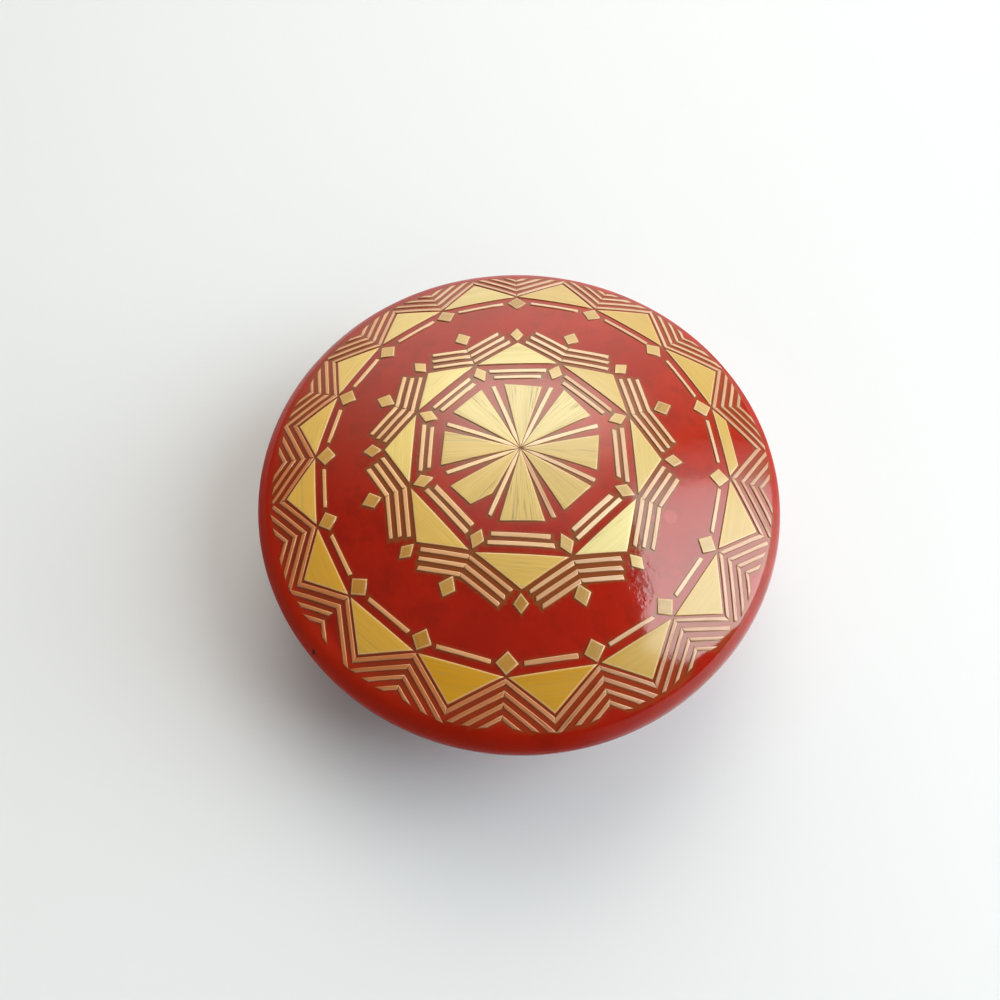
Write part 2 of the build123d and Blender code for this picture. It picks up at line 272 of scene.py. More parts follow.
def outlinesOf(node, decimals=3):
    # points that share an edge take the lowest label among them until nothing changes: one label a solid;
    # each solid's plan outline is the hull of its points
    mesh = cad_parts[node].data
    points = np.zeros(len(mesh.vertices) * 3, np.float32)
    mesh.vertices.foreach_get("co", points)
    points = points.reshape(-1, 3) / mm
    edges = np.zeros(len(mesh.edges) * 2, np.int32)
    mesh.edges.foreach_get("vertices", edges)
    same = np.unique(np.round(points, decimals), axis=0, return_inverse=True)[1].ravel()
    a, b = same[edges.reshape(-1, 2)].T
    label = np.arange(same.max() + 1)
    settled = False
    while not settled:
        low = label.copy()
        np.minimum.at(low, a, label[b])
        np.minimum.at(low, b, label[a])
        low = low[low]
        settled = (low == label).all()
        label = low
    plan = points[:, 0] + 1j * points[:, 1]
    return [planCorners(plan[label[same] == one]) for one in np.unique(label)]


def planCorners(plan, apart=0.03, bend=0.015):
    # hull points at least apart from each other and at least bend off the line of their neighbours
    hull = plan[convex_hull_2d([(p.real, p.imag) for p in plan.tolist()])]
    hull = hull[np.abs(hull - np.roll(hull, 1)) > apart]
    before, after = np.roll(hull, 1), np.roll(hull, -1)
    off = np.abs(cross(after - before, hull - before)) / np.abs(after - before)
    hull = hull[off > bend]
    area = cross(hull, np.roll(hull, -1)).sum()
    return hull if area > 0 else hull[::-1]


def movedIn(corners, gap):
    # every side moved in by gap: corner + (u n - v m) gap / cross(u, v), with the sides' normals m and n
    u = corners - np.roll(corners, 1)
    v = np.roll(corners, -1) - corners
    u, v = u / np.abs(u), v / np.abs(v)
    return corners + gap * (v - u) / cross(u, v)


# How the straw as laid strays from the drawing
straying = {
    "seed": 5,
    "sideways": 0.035,  # mm at a corner, either way
    "endwise": 0.14,
    "narrowShares": {  # of the drawn width, as the straw dried
        "outer": 0.74, "middle": 0.82, "ring": 0.81, "octagon": 0.9, "star": 0.92,
    },
    "widths": 0.07,  # share by which the narrow strips differ
    "shortBy": {"middle": 0.3, "octagon": 0.35, "ring": 0.2},  # mm at an end
    "shortShares": (0.5, 1.5),  # least and most of it
    "edgeShortBy": (  # heading from +X towards +Y, mm off the far ends of the outer legs there
        (-180, 0), (-150, -0.4), (-115, -0.4), (-90, -0.3), (-77, 0), (-60, 0.45), (-25, 0.9), (-8, 0.1),
        (10, 0.35), (60, 0.6), (90, 0.3), (130, 0.3), (180, 0),
    ),
    "edgeSpread": 0.3,  # mm more or less
    "rowShortBy": {"outer_chevrons_3": 0.4, "outer_chevrons_4": 0.8},  # mm more off the outermost rows
    "rowWidths": {"outer_chevrons_3": 0.92, "outer_chevrons_4": 0.86},
    "leastLength": 2.5,  # a piece shorter than this many cuts keeps its length
    "nudges": {  # node: reach round a place, and where the corners near that place really lie
        "star_kites": (1.3, [
            (-2.9, 14.1), (4.1, 13.4), (8.2, 12.8), (12.8, 7.4), (14.1, 3.2), (13.5, -3.8),
            (12.2, -7.0), (7.5, -11.7), (4.1, -13.7), (-2.3, -13.5), (-12.2, -7.0), (-8.8, -10.6),
            (-5.0, -8.7), (-14.0, -3.0), (-13.6, 3.9), (-12.3, 7.9), (-7.0, 12.7),
        ]),
        "star_rays": (1.4, [
            (-4.9, 13.4), (5.8, 13.2), (14.0, 5.2), (13.0, -5.9),
            (5.6, -13.0), (-5.4, -12.7), (-12.9, -4.5), (-13.2, 5.4),
        ]),
        "outer_lozenges": (3.4, [
            (-10.9, 25.9), (10.1, 26.0), (26.6, 10.6), (10.3, -26.1),
            (-12.5, -24.7), (-26.3, -8.8), (-25.0, 11.8),
        ]),
        "ring_lozenges": (3.4, [(36.3, -2.8), (-25.6, 24.4), (26.4, 25.2)]),
        "outer_chevrons_4": (2.4, [(-3.4, -45.4)]),
    },
}
dice = np.random.default_rng(straying["seed"])


def nudged(pieces, node):
    # corners within reach of a place move together so that their middle lands on it
    reach, places = straying["nudges"].get(node, (0, []))
    for x, y in places:
        place = complex(x, y)
        nearest = min(range(len(pieces)), key=lambda k: np.abs(pieces[k] - place).min())
        corners = pieces[nearest]
        near = np.abs(corners - place) < reach
        if near.any():
            pieces[nearest] = np.where(near, corners + place - corners[near].mean(), corners)
    return pieces


def grainOf(corners):
    # unit vector along the longest side
    sides = np.roll(corners, -1) - corners
    longest = sides[np.argmax(np.abs(sides))]
    return longest / np.abs(longest)


def kiteGrain(plan, corners, fan=14.0):
    # along = distance from the lid's middle, across = turn off the kite's own line * sqrt(fan * distance)
    ray = corners.mean() / np.abs(corners.mean())
    return np.abs(plan) + 1j * np.angle(plan / ray) * np.sqrt(fan * np.abs(plan))


def strayed(corners, node, wide):
    # each corner moves a little along and across the grain; narrow strips also differ in width and length
    u = grainOf(corners)
    middle = corners.mean()
    if ((corners - middle) / u).real @ np.abs(corners) < 0:
        u = -u  # u points to the end that is further out
    local = (corners - middle) / u
    along = local.real + dice.uniform(-1, 1, len(corners)) * straying["endwise"]
    across = local.imag
    if not wide:
        ring = node.split("_")[0]
        across = across * (straying["narrowShares"][ring] + dice.uniform(-1, 1) * straying["widths"])
        across = across * straying["rowWidths"].get(node, 1)
        far = near = 0.0
        if ring != "outer":
            far, near = straying["shortBy"].get(ring, 0) * dice.uniform(*straying["shortShares"], 2)
        elif node != "outer_chevrons_1":
            turn = np.degrees(np.angle(corners[np.argmax(np.abs(corners))]))
            spread = straying["edgeSpread"]
            far = np.interp(turn, *zip(*straying["edgeShortBy"])) + dice.uniform(-spread, spread)
            far += straying["rowShortBy"].get(node, 0)
        if np.ptp(local.real) > straying["leastLength"] * abs(far):
            along = np.where(local.real > 0, along - far, along + (near if ring != "middle" else 0))
    across = across + dice.uniform(-1, 1, len(corners)) * straying["sideways"]
    return middle + (along + 1j * across) * u


# Straw pieces: rings of points from the middle of a piece out to its edge, down the cut side and
# out into the lacquer that stands against it
narrowStraw = {
    "rings": [  # moved in by, height over the dome, edge tone
        (0.17, 0.21, 0.0), (0.04, 0.205, 0.2), (0.0, 0.18, 0.8), (-0.07, 0.02, 1.0), (-0.12, -0.03, 1.0),
    ],
    "shares": (),  # more rings inside them, as shares of the way out
    "step": 2.4,  # length of a face along a side
}
wideStraw = {
    "rings": [
        (0.6, 0.22, 0.0), (0.34, 0.218, 0.0), (0.2, 0.215, 0.42), (0.04, 0.21, 0.6), (0.0, 0.185, 0.85),
        (-0.07, 0.02, 1.0), (-0.12, -0.03, 1.0),
    ],
    "shares": (0.35, 0.7),
    "step": 1.6,
}


def strawPiece(corners, rings, shares, step):
    # points on each side at equal shares of its length, in rings: shares of the way out, then moved in
    outer = movedIn(corners, rings[0][0])
    middle = outer.mean()
    loops = [middle + (outer - middle) * share for share in shares]
    loops += [movedIn(corners, inset) for inset, lift, tone in rings]
    counts = np.maximum(1, np.ceil(np.abs(np.roll(corners, -1) - corners) / step)).astype(int)
    side = np.repeat(np.arange(len(corners)), counts)
    along = np.concatenate([np.arange(n) / n for n in counts])
    plan = np.array([loop[side] + (np.roll(loop, -1)[side] - loop[side]) * along for loop in loops])
    lifts = [rings[0][1]] * len(shares) + [lift for inset, lift, tone in rings]
    tones = [0.0] * len(shares) + [tone for inset, lift, tone in rings]
    plan = np.concatenate([[middle], plan.ravel()])
    lift = np.concatenate([[rings[0][1]], np.repeat(lifts, len(side))])
    tone = np.concatenate([[0.0], np.repeat(tones, len(side))])
    around = np.arange(len(side))
    after = np.roll(around, -1)
    fan = [(0, 1 + a, 1 + b) for a, b in zip(around.tolist(), after.tolist())]
    row = 1 + np.arange(len(loops) - 1)[:, None] * len(side)
    quads = np.stack([row + around, row + len(side) + around, row + len(side) + after, row + after], -1)
    return plan, lift, tone, fan + quads.reshape(-1, 4).tolist()


strawTones = {  # 0 deep to 1 pale, at headings 0, 45 ... 315 degrees from +X towards +Y
    "star_kites": (0.33, 0.52, 0.5, 0.67, 0.35, 0.43, 0.38, 0.32),
    "star_rays": (0.8, 1.0, 0.7, 0.74, 0.83, 0.85, 0.45, 0.25),
    "octagon_strips": (0.48, 0.48, 0.75, 0.8, 0.47, 0.5, 0.5, 0.8),
    "octagon_lozenges": (0.4, 0.6, 0.7, 0.8, 0.6, 0.12, 0.4, 0.6),
    "middle_triangles": (0.45, 0.3, 0.75, 0.62, 0.6, 0.35, 0.25, 0.85),
    "apex_lozenges": (0.4, 0.65, 0.65, 0.8, 0.15, 0.1, 0.05, 0.8),
    "middle_chevrons": (0.44, 0.52, 0.7, 0.7, 0.45, 0.35, 0.25, 0.55),
    "outer_lozenges": (0.1, 0.0, 0.9, 0.4, 0.33, 0.0, 0.2, 0.25),
    "ring_strips": (0.55, 0.35, 0.6, 0.65, 0.38, 0.2, 0.2, 0.55),
    "ring_lozenges": (0.45, 0.53, 0.15, 0.5, 0.2, 0.0, 0.0, 0.15),
    "outer_triangles": (0.1, 0.2, 0.4, 0.5, 0.3, 0.07, 0.0, 0.1),
    "outer_chevrons": (0.15, 0.45, 0.4, 0.33, 0.0, 0.0, 0.0, 0.25),
}
pieceSpread = {  # from piece to piece, either way
    "tone": 0.08,
    "lift": 0.012,  # mm, of the points above liftedFrom
    "liftedFrom": 0.1,
    "grainTurn": 4.0,  # degrees
    "grainShift": 40,  # mm
}
paintedSheen = {  # painted sheen: the straw is brighter and redder towards the lid's left edge
    "gain": (0.42, 0.27, -0.15),  # red, green and blue there
    "towards": (0.92, 0.38),  # away from that edge, along x and y
    "reach": 40,  # mm
    "least": -0.12,
}


def toneOf(node, corners):
    # straight between the two nearest of the eight headings
    tones = strawTones[node.rstrip("_1234")]
    return np.interp(np.degrees(np.angle(corners.mean())) % 360, np.arange(9) * 45, tones + tones[:1])


def sheenShare(corners):
    # -(a x + b y) / reach within the least and 1, for the piece's middle and towards = (a, b)
    middle = corners.mean()
    a, b = paintedSheen["towards"]
    return np.clip(-(a * middle.real + b * middle.imag) / paintedSheen["reach"], paintedSheen["least"], 1)


def strawLayer(node, name, material, wide):
    # every straw of a node laid on the dome, with its tone and its grain, as one mesh
    make, spread = wideStraw if wide else narrowStraw, pieceSpread
    rows, faces, start = [], [], 0
    outlines = nudged(outlinesOf(node), node)
    for corners in outlines:
        corners = strayed(corners, node, wide)
        plan, lift, edge, own = strawPiece(corners, make["rings"], make["shares"], make["step"])
        turn = np.exp(1j * np.radians(dice.uniform(-1, 1) * spread["grainTurn"]))
        shift = complex(*dice.uniform(-spread["grainShift"], spread["grainShift"], 2))
        lift = lift + dice.uniform(-spread["lift"], spread["lift"]) * (lift > spread["liftedFrom"])
        tone = np.full(len(plan), toneOf(node, corners) + dice.uniform(-1, 1) * spread["tone"])
        # share of the painted sheen for this piece
        left = np.full(len(plan), sheenShare(corners))
        if node == "star_kites":
            grain = kiteGrain(plan, corners) + shift
        else:
            grain = (plan - corners.mean()) / (grainOf(corners) * turn) + shift
        rows.append((plan, lift, edge, tone, left, grain))
        faces += [tuple(i + start for i in face) for face in own]
        start += len(plan)
    plan, lift, edge, tone, left, grain = (np.concatenate(column) for column in zip(*rows))
    points = np.stack([plan.real, plan.imag, domeHeight(np.abs(plan), lift)], -1)
    piece = meshObject(name, points, faces)
    pointAttribute(piece, "edge", edge)
    pointAttribute(piece, "tone", tone)
    pointAttribute(piece, "left", left)
    loops = np.zeros(len(piece.data.loops), np.int32)
    piece.data.loops.foreach_get("vertex_index", loops)
    uv = np.stack([grain.real, grain.imag], -1)[loops]
    piece.data.uv_layers.new(name="grain").data.foreach_set("uv", uv.astype(np.float32).ravel())
    piece.data.materials.append(material)
    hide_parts(node)
    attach(piece, "lid")
    print("straw", name, len(outlines), "pieces", len(faces), "faces")
    return outlines


# Materials

def newMaterial(name):
    material = bpy.data.materials.new(name)
    material.use_nodes = True
    tree = material.node_tree
    return material, tree, tree.nodes["Principled BSDF"]


def add(tree, kind, **settings):
    node = tree.nodes.new("ShaderNode" + kind)
    for key, value in settings.items():
        setattr(node, key, value)
    return node


def link(tree, source, target):
    tree.links.new(source, target)


def noise(tree, vector, scale, detail=3.0, roughness=0.5):
    node = add(tree, "TexNoise")
    node.inputs["Scale"].default_value = scale
    node.inputs["Detail"].default_value = detail
    node.inputs["Roughness"].default_value = roughness
    link(tree, vector, node.inputs["Vector"])
    return node.outputs["Fac"]


def ramp(tree, source, stops):
    # stops: place and grey or colour
    node = add(tree, "ValToRGB")
    elements = node.color_ramp.elements
    while len(elements) < len(stops):
        elements.new(0.5)
    for element, (place, value) in zip(elements, stops):
        element.position = place
        element.color = (value, value, value, 1) if np.isscalar(value) else (*value, 1)
    link(tree, source, node.inputs["Fac"])
    return node.outputs["Color"]


def pattern(tree, vector, kind):
    # kind: the noise's scale, detail and roughness, then the stops of the ramp on it
    settings, stops = kind
    return ramp(tree, noise(tree, vector, *settings), stops)


def mixed(tree, share, first, second, blend="MIX"):
    # factor, A and B of the colour mix, each a socket, a number or a colour
    node = add(tree, "Mix", data_type="RGBA", blend_type=blend)
    for value, socket in ((share, node.inputs[0]), (first, node.inputs[6]), (second, node.inputs[7])):
        if isinstance(value, bpy.types.NodeSocket):
            link(tree, value, socket)
        elif np.isscalar(value):
            socket.default_value = value
        else:
            socket.default_value = (*value, 1)
    return node.outputs[2]


def maths(tree, operation, *values):
    node = add(tree, "Math", operation=operation)
    for value, socket in zip(values, node.inputs):
        if isinstance(value, bpy.types.NodeSocket):
            link(tree, value, socket)
        else:
            socket.default_value = value
    return node.outputs[0]


def product(tree, first, second):
    return maths(tree, "MULTIPLY", first, second)


def attribute(tree, name):
    return add(tree, "Attribute", attribute_name=name).outputs["Fac"]


def bumped(tree, shader, height, strength, distance, under=None):
    # distance in metres; under is the bump below this one
    node = add(tree, "Bump")
    node.inputs["Strength"].default_value = strength
    node.inputs["Distance"].default_value = distance
    link(tree, height, node.inputs["Height"])
    if under is not None:
        link(tree, under, node.inputs["Normal"])
    link(tree, node.outputs["Normal"], shader.inputs["Normal"])
    return node.outputs["Normal"]


lacquerLook = {
    "red": (0.385, 0.013, 0.003),
    "deepRed": (0.31, 0.010, 0.003),
    "blotch": (0.25, 0.010, 0.003),
    "underStraw": (0.225, 0.057, 0.015),
    "ghost": (0.50, 0.07, 0.06),  # where a lost lozenge was glued
    "speck": (0.11, 0.012, 0.006),
    "bounceLitRed": (0.56, 0.024, 0.006),  # painted light: lighter red on the edge, where light bounced from below falls
    "clouds": ((70, 4, 0.6), [(0.35, 0.0), (0.68, 1.0)]),
    "blotches": ((230, 4, 0.65), [(0.5, 0.0), (0.6, 1.0)]),
    "blotchShare": 0.55,
    "fine": ((900, 3, 0.7), [(0.3, 0.0), (0.75, 1.0)]),
    "fineShare": 0.25,
    "ghostShare": 0.35,
    "smudge": ((120, 5, 0.65), [(0.3, 0.05), (0.8, 0.15)]),  # roughness
    "index": 1.57,
    "waves": ((90, 1), 0.25, 0.0004),  # noise, strength and distance of the bump
    "ripples": ((700, 2), 0.05, 0.0003),
    "wrinkles": ((560, 2, 0.55), 0.17, 0.0003),
    "ghostHeight": 0.12,
    "dullRoughness": 0.4,
    "dullGloss": 0.01,
    "marks": {  # x, y and radius in mm, and how softly each one ends
        "ghost": [(26.3, -11.5, 1.0, 0.5), (23.6, -12.2, 0.6, 0.4)],
        "speck": [(-36.0, -33.5, 0.25, 0.25)],
        "wrinkle": [(20.5, -22.5, 3.5, 3.0)],
    },
}


def markOn(tree, place, name):
    # largest over the marks of 1 - smooth step of the distance in plan from radius to radius + softness,
    # and 0 off the dome
    flat = add(tree, "VectorMath", operation="MULTIPLY")
    link(tree, place, flat.inputs[0])
    flat.inputs[1].default_value = (1.0, 1.0, 0.0)
    share = 0.0
    for x, y, radius, soft in lacquerLook["marks"][name]:
        apart = add(tree, "VectorMath", operation="DISTANCE")
        link(tree, flat.outputs[0], apart.inputs[0])
        apart.inputs[1].default_value = (x * mm, y * mm, 0.0)
        step = add(tree, "MapRange", interpolation_type="SMOOTHSTEP")
        link(tree, apart.outputs["Value"], step.inputs["Value"])
        step.inputs["From Min"].default_value = radius * mm
        step.inputs["From Max"].default_value = (radius + soft) * mm
        step.inputs["To Min"].default_value = 1.0
        step.inputs["To Max"].default_value = 0.0
        share = maths(tree, "MAXIMUM", step.outputs["Result"], share)
    return product(tree, share, attribute(tree, "dome"))


def redLacquer(name, marked):
    # red over deeper red in clouds, blotches and fine grain, with wavy gloss that the dull share takes off;
    # marked lacquer also has stains round the straw, painted light on the edge where bounced light falls, and
    # the marks
    look = lacquerLook
    material, tree, shader = newMaterial(name)
    place = add(tree, "TexCoord").outputs["Object"]
    colour = mixed(tree, pattern(tree, place, look["clouds"]), look["deepRed"], look["red"])
    blotches = product(tree, pattern(tree, place, look["blotches"]), look["blotchShare"])
    colour = mixed(tree, blotches, colour, look["blotch"])
    fine = product(tree, pattern(tree, place, look["fine"]), look["fineShare"])
    colour = mixed(tree, fine, colour, look["deepRed"])
    if marked:
        colour = mixed(tree, attribute(tree, "stain"), colour, look["underStraw"])
        ghost = product(tree, markOn(tree, place, "ghost"), look["ghostShare"])
        colour = mixed(tree, ghost, colour, look["ghost"])
        # painted light: lighter red on the lid's left and lower edge, where bounced light falls
        colour = mixed(tree, attribute(tree, "bounceLit"), colour, look["bounceLitRed"])
        colour = mixed(tree, markOn(tree, place, "speck"), colour, look["speck"])
    link(tree, colour, shader.inputs["Base Color"])
    link(tree, pattern(tree, place, look["smudge"]), shader.inputs["Roughness"])
    shader.inputs["IOR"].default_value = look["index"]
    settings, strength, distance = look["waves"]
    waves = bumped(tree, shader, noise(tree, place, *settings), strength, distance)
    settings, strength, distance = look["ripples"]
    waves = bumped(tree, shader, noise(tree, place, *settings), strength, distance, waves)
    if marked:
        settings, strength, distance = look["wrinkles"]
        crumpled = product(tree, noise(tree, place, *settings), markOn(tree, place, "wrinkle"))
        crumpled = maths(tree, "MULTIPLY_ADD", markOn(tree, place, "ghost"), look["ghostHeight"], crumpled)
        waves = bumped(tree, shader, crumpled, strength, distance, waves)
    worn = add(tree, "BsdfPrincipled")
    link(tree, colour, worn.inputs["Base Color"])
    link(tree, waves, worn.inputs["Normal"])
    worn.inputs["Roughness"].default_value = look["dullRoughness"]
    worn.inputs["Specular IOR Level"].default_value = look["dullGloss"]
    both = add(tree, "MixShader")
    link(tree, attribute(tree, "dull"), both.inputs[0])
    link(tree, shader.outputs[0], both.inputs[1])
    link(tree, worn.outputs[0], both.inputs[2])
    link(tree, both.outputs[0], tree.nodes["Material Output"].inputs["Surface"])
    return material


strawLook = {  # first the deep and the pale colour of each kind
    "starStraw": ((0.50, 0.245, 0.02), (0.86, 0.73, 0.37)),
    "goldenStraw": ((0.495, 0.245, 0.015), (0.88, 0.74, 0.35)),
    "tanStraw": ((0.40, 0.19, 0.04), (0.82, 0.56, 0.25)),
    "paleStraw": ((0.44, 0.15, 0.072), (0.97, 0.67, 0.44)),
    "cutEdge": (0.80, 0.49, 0.28),
    "outline": (0.30, 0.115, 0.03),
    "vein": (0.74, 0.72, 0.46),  # share of the straw's colour left in a vein
    "crack": (0.38, 0.25, 0.09),
    "stretch": (0.035, 1.0, 1.0),  # draws the noise out along the grain
    "wideNoise": (0.7, 3, 0.6),
    "thinNoise": (3.4, 3, 0.65),
    "lines": [(0.38, 1.0), (0.5, 0.0)],
    "bands": [(0.36, 1.0), (0.6, 0.0)],
    "threadNoise": (1.1, 2),
    "threadLevel": 0.5,  # cracks follow this level of the noise
    "thread": [(0.004, 1.0), (0.03, 0.0)],
    "rare": ((0.4, 1), [(0.42, 0.0), (0.58, 1.0)]),
    "rim": [(0.2, 0.0), (0.42, 0.34), (0.6, 0.45)],  # over the edge attribute
    "ring": [(0.7, 0.0), (0.94, 1.0)],
    "roughness": 0.34,
    "index": 1.5,
    "coat": 0.6,
    "coatRoughness": 0.12,
    "relief": (0.22, 0.00012),  # strength and distance of the bump
}


def splitStraw(name, streaks, cracks):
    # colour from deep to pale by the tone, times 1 + the painted sheen's gain, darker in veins and cracks
    # along the grain, with a pale cut edge and a dark line round it
    look = strawLook
    deep, pale = look[name]
    material, tree, shader = newMaterial(name)
    uv = add(tree, "UVMap", uv_map="grain").outputs["UV"]
    stretched = add(tree, "Mapping")
    stretched.inputs["Scale"].default_value = look["stretch"]
    link(tree, uv, stretched.inputs["Vector"])
    along = stretched.outputs["Vector"]
    wide = noise(tree, along, *look["wideNoise"])
    thin = noise(tree, along, *look["thinNoise"])
    colour = mixed(tree, attribute(tree, "tone"), deep, pale)
    # painted sheen: colour times 1 + gain times the piece's share towards the left edge
    gain = add(tree, "VectorMath", operation="MULTIPLY_ADD")
    link(tree, attribute(tree, "left"), gain.inputs[0])
    gain.inputs[1].default_value = paintedSheen["gain"]
    gain.inputs[2].default_value = (1.0, 1.0, 1.0)
    colour = mixed(tree, 1.0, colour, gain.outputs[0], "MULTIPLY")
    vein = mixed(tree, 1.0, colour, look["vein"], "MULTIPLY")
    lines = ramp(tree, thin, look["lines"])
    bands = ramp(tree, wide, look["bands"])
    share = product(tree, maths(tree, "MAXIMUM", lines, bands), streaks)
    colour = mixed(tree, share, colour, vein)
    level = maths(tree, "SUBTRACT", noise(tree, along, *look["threadNoise"]), look["threadLevel"])
    thread = ramp(tree, maths(tree, "ABSOLUTE", level), look["thread"])
    rare = pattern(tree, along, look["rare"])
    crack = product(tree, product(tree, thread, rare), cracks)
    colour = mixed(tree, crack, colour, look["crack"])
    edge = attribute(tree, "edge")
    colour = mixed(tree, ramp(tree, edge, look["rim"]), colour, look["cutEdge"])
    colour = mixed(tree, ramp(tree, edge, look["ring"]), colour, look["outline"])
    link(tree, colour, shader.inputs["Base Color"])
    shader.inputs["Roughness"].default_value = look["roughness"]
    shader.inputs["IOR"].default_value = look["index"]
    shader.inputs["Coat Weight"].default_value = look["coat"]
    shader.inputs["Coat Roughness"].default_value = look["coatRoughness"]
    bumped(tree, shader, thin, *look["relief"])
    return material


print("materials")
starStraw = splitStraw("starStraw", streaks=0.45, cracks=1.0)
goldenStraw = splitStraw("goldenStraw", streaks=0.3, cracks=0.35)
tanStraw = splitStraw("tanStraw", streaks=0.6, cracks=0.4)
paleStraw = splitStraw("paleStraw", streaks=0.4, cracks=0.0)
lidLacquer = redLacquer("lidLacquer", marked=True)
baseLacquer = redLacquer("baseLacquer", marked=False)

# Straw pieces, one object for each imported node
strawNodes = {  # name, material, slot, and whether it is cut wide
    "star_kites": ("starKites", starStraw, "golden_straw", True),
    "star_rays": ("starRays", paleStraw, "pale_straw", False),
    "octagon_strips_1": ("octagonStrips1", paleStraw, "pale_straw", False),
    "octagon_strips_2": ("octagonStrips2", paleStraw, "pale_straw", False),
    "octagon_lozenges": ("octagonLozenges", tanStraw, "tan_straw", True),
    "middle_triangles": ("middleTriangles", goldenStraw, "golden_straw", True),
    "apex_lozenges": ("apexLozenges", tanStraw, "tan_straw", True),
    "middle_chevrons_1": ("middleChevrons1", paleStraw, "pale_straw", False),
    "middle_chevrons_2": ("middleChevrons2", paleStraw, "pale_straw", False),
    "middle_chevrons_3": ("middleChevrons3", paleStraw, "pale_straw", False),
    "outer_lozenges": ("outerLozenges", tanStraw, "tan_straw", True),
    "ring_strips": ("ringStrips", paleStraw, "pale_straw", False),
    "ring_lozenges": ("ringLozenges", tanStraw, "tan_straw", True),
    "outer_triangles": ("outerTriangles", goldenStraw, "golden_straw", True),
    "outer_chevrons_1": ("outerChevrons1", paleStraw, "pale_straw", False),
    "outer_chevrons_2": ("outerChevrons2", paleStraw, "pale_straw", False),
    "outer_chevrons_3": ("outerChevrons3", paleStraw, "pale_straw", False),
    "outer_chevrons_4": ("outerChevrons4", paleStraw, "pale_straw", False),
}
allOutlines = []
for node, (name, material, slot, wide) in strawNodes.items():
    allOutlines += strawLayer(node, name, material, wide)


# Lid and base

# gloss worn off the lid's edge, and painted light bounced onto that edge
edgeWearAndBounce = {
    "dullRadii": (45.5, 48.5),  # radii between which the wear begins and is whole
    "bounceLitRadii": (44.0, 47.5),
    "baseShare": 0.25,  # of the dull share, on the base
    "dull": [  # heading from +X towards +Y, share of the edge
        (-180, 0.95), (-80, 1.0), (-60, 0.5), (-45, 0.1), (-20, 0.15), (0, 0.8), (12, 0.97), (40, 0.97),
        (60, 0.75), (100, 0.55), (120, 0.75), (140, 0.3), (160, 0.6), (180, 0.95),
    ],
    # painted light: share of lighter red on the edge where bounced light falls, by heading
    "bounceLit": [
        (-180, 0.5), (-155, 0.8), (-135, 1.0), (-100, 0.2), (-80, 0.0), (140, 0.0), (160, 0.3), (180, 0.5),
    ],
}


stain = {  # glue and lacquer darkened round the straw
    "fade": 0.5,  # mm
    "from": 0.55,
    "spread": 0.5,
    "reach": 1.5,  # mm past a piece's own corners
    "outerShare": 0.5,  # left of it past the outer radius
    "outerRadii": (30, 38),
    "strength": 0.95,
}


def smoothStep(values, start, end):
    # s^2 (3 - 2 s) with s = (value - start) / (end - start) within 0 and 1
    s = np.clip((values - start) / (end - start), 0, 1)
    return s**2 * (3 - 2 * s)


def onDome(points, apart=0.01):
    # true where a point of the lid is on its outer face, above the widest circle
    return np.abs(points[:, 2] - domeHeight(np.hypot(points[:, 0], points[:, 1]))) < apart


def stainOf(points):
    # (sum over pieces of exp(-(d / fade)^2) - from) / spread within 0 and 1, d = distance to a piece in plan,
    # times 1 - (1 - outerShare) smooth step of the radius between the outer radii
    plan = points[:, 0] + 1j * points[:, 1]
    outside = onDome(points)
    near = np.zeros(len(points))
    for corners in allOutlines:
        reach = np.abs(corners - corners.mean()).max() + stain["reach"]
        close = np.flatnonzero(outside & (np.abs(plan - corners.mean()) < reach))
        sides = np.roll(corners, -1) - corners
        sides = sides / np.abs(sides)
        away = -cross(sides[:, None], plan[close][None] - corners[:, None])
        near[close] += np.exp(-((np.maximum(away.max(0), 0) / stain["fade"]) ** 2))
    outer = smoothStep(np.abs(plan), *stain["outerRadii"])
    return np.clip((near - stain["from"]) / stain["spread"], 0, 1) * (1 - (1 - stain["outerShare"]) * outer)


def edgeShare(points, edgeMark):
    # smooth step of the radius between the mark's radii, times its share between the nearest headings
    plan = points[:, 0] + 1j * points[:, 1]
    headings, shares = zip(*edgeWearAndBounce[edgeMark])
    around = np.interp(np.degrees(np.angle(plan)), headings, shares)
    return smoothStep(np.abs(plan), *edgeWearAndBounce[edgeMark + "Radii"]) * around


lidShell, lidPoints = turnedObject("lidShell", lidOutline(), lid["turns"])
pointAttribute(lidShell, "stain", stainOf(lidPoints) * stain["strength"])
pointAttribute(lidShell, "dome", onDome(lidPoints))
pointAttribute(lidShell, "dull", edgeShare(lidPoints, "dull"))
# painted light bounced onto the lid's edge
pointAttribute(lidShell, "bounceLit", edgeShare(lidPoints, "bounceLit"))
lidShell.data.materials.append(lidLacquer)
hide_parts("lid_shell")
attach(lidShell, "lid")
print("lid", len(lidPoints), "points")

baseBowl, basePoints = turnedObject("baseBowl", baseOutline(), base["turns"])
pointAttribute(baseBowl, "dull", edgeShare(basePoints, "dull") * edgeWearAndBounce["baseShare"])
baseBowl.data.materials.append(baseLacquer)
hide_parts("base_bowl")
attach(baseBowl, "base")
print("base", len(basePoints), "points")


# Floor, light and camera

